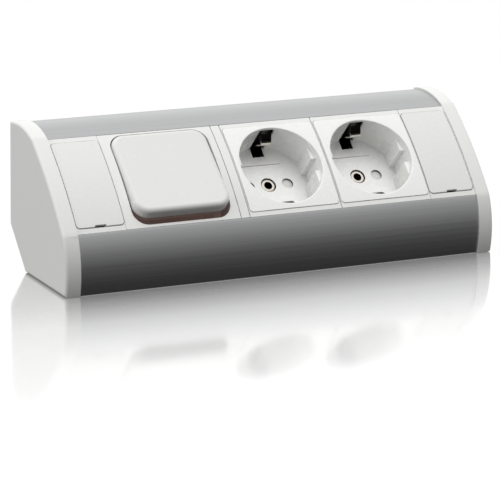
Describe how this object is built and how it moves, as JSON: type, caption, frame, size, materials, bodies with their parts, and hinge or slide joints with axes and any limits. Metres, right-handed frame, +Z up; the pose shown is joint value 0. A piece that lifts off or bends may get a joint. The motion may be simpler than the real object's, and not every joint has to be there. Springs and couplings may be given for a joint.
{
  "type": "desk power strip",
  "caption": "Corner-mounted desk power strip: sloping aluminium extrusion with rocker switch, earthed round-well outlets and plastic end caps",
  "frame": {"origin": "middle of the strip on the desk surface, at the centre of the footprint", "axes": "+X along the strip from the switch to the sockets, +Y back towards the wall, +Z up from the desk"},
  "size_m": [0.2084, 0.0649, 0.0649],
  "materials": {
    "anodised_aluminium": "satin anodised, fine brushed lines along the strip",
    "cap_white": "lightly glossy moulded plastic",
    "frame_white": "lightly glossy moulded plastic",
    "insert_white": "smooth moulded plastic",
    "rocker_white": "smooth moulded plastic",
    "inner_grey": "matt moulded plastic",
    "inner_brown": "matt brown moulded plastic",
    "zinc_steel": "bright zinc plating",
    "nickel": "bright nickel plating",
    "brass_contact": "plain stamped brass",
    "copper_contact": "plain stamped copper alloy",
    "rubber_black": "matt black rubber",
    "wire_brown": "brown insulation",
    "wire_blue": "blue insulation",
    "wire_green": "green and yellow insulation"
  },
  "bodies": {
    "strip": {"switch_frame": "frame_white", "spacer_strip": "frame_white", "switch_base": "inner_brown", "lever_post": "copper_contact", "fixed_contact": "copper_contact", "post_terminal_screw": "zinc_steel", "fixed_terminal_screw": "zinc_steel", "rocker_axle_left": "zinc_steel", "rocker_axle_right": "zinc_steel", "socket_frame_1": "frame_white", "socket_insert_1": "insert_white", "socket_base_1": "inner_grey", "earth_clip_1": "nickel", "neutral_contact_1": "brass_contact", "live_contact_1": "brass_contact", "centre_screw_1": "nickel", "neutral_terminal_screw_1": "zinc_steel", "live_terminal_screw_1": "zinc_steel", "earth_terminal_screw_1": "zinc_steel", "socket_frame_2": "frame_white", "socket_insert_2": "insert_white", "socket_base_2": "inner_grey", "earth_clip_2": "nickel", "neutral_contact_2": "brass_contact", "live_contact_2": "brass_contact", "centre_screw_2": "nickel", "neutral_terminal_screw_2": "zinc_steel", "live_terminal_screw_2": "zinc_steel", "earth_terminal_screw_2": "zinc_steel", "cable_inlet_grommet": "rubber_black", "inlet_terminal_block": "inner_grey", "inlet_screw_live": "zinc_steel", "inlet_screw_neutral": "zinc_steel", "inlet_screw_earth": "zinc_steel", "earth_bond_wire": "wire_green", "earth_bond_screw": "zinc_steel", "live_supply_wire": "wire_brown", "live_switched_wire": "wire_brown", "live_link_wire": "wire_brown", "neutral_link_wire": "wire_blue", "neutral_supply_wire": "wire_blue", "earth_link_wire": "wire_green", "earth_supply_wire": "wire_green", "aluminium_profile": "anodised_aluminium", "end_cap_right": "cap_white", "end_cap_left": "cap_white", "cap_screw_bottom_left": "zinc_steel", "cap_screw_back_left": "zinc_steel", "cap_screw_bottom_right": "zinc_steel", "cap_screw_back_right": "zinc_steel"},
    "rocker": {"switch_rocker": "rocker_white", "rocker_carrier": "inner_brown", "rocker_plunger": "inner_brown", "plunger_spring": "zinc_steel"},
    "lever": {"contact_lever": "copper_contact"},
    "cover_left": {"screw_cover_left": "insert_white"},
    "cover_right": {"screw_cover_right": "insert_white"},
    "shutter_1": {"shutter_1": "insert_white"},
    "shutter_2": {"shutter_2": "insert_white"}
  },
  "joints": [
    {"name": "rocker_hinge", "type": "hinge", "parent": "strip", "child": "rocker", "pos_m": [-0.0466, -0.00404, 0.03707], "axis": [1, 0, 0], "range_deg": [0, 12]},
    {"name": "lever_hinge", "type": "hinge", "parent": "strip", "child": "lever", "pos_m": [-0.0466, -0.0005, 0.03353], "axis": [1, 0, 0], "range_deg": [-16, 0]},
    {"name": "shutter_1_slide", "type": "slide", "parent": "strip", "child": "shutter_1", "axis": [0, 0.7071, 0.7071], "range_m": [0, 0.0062], "stiffness_N_per_m": 40, "springref_m": -0.003},
    {"name": "shutter_2_slide", "type": "slide", "parent": "strip", "child": "shutter_2", "axis": [0, 0.7071, 0.7071], "range_m": [0, 0.0062], "stiffness_N_per_m": 40, "springref_m": -0.003},
    {"name": "cover_left_slide", "type": "slide", "parent": "strip", "child": "cover_left", "axis": [0, -0.7071, 0.7071], "range_m": [0, 0.03]},
    {"name": "cover_right_slide", "type": "slide", "parent": "strip", "child": "cover_right", "axis": [0, -0.7071, 0.7071], "range_m": [0, 0.03]}
  ],
  "couplings": [
    {"joint": "lever_hinge", "follows": "rocker_hinge", "ratio": -1.3333}
  ]
}
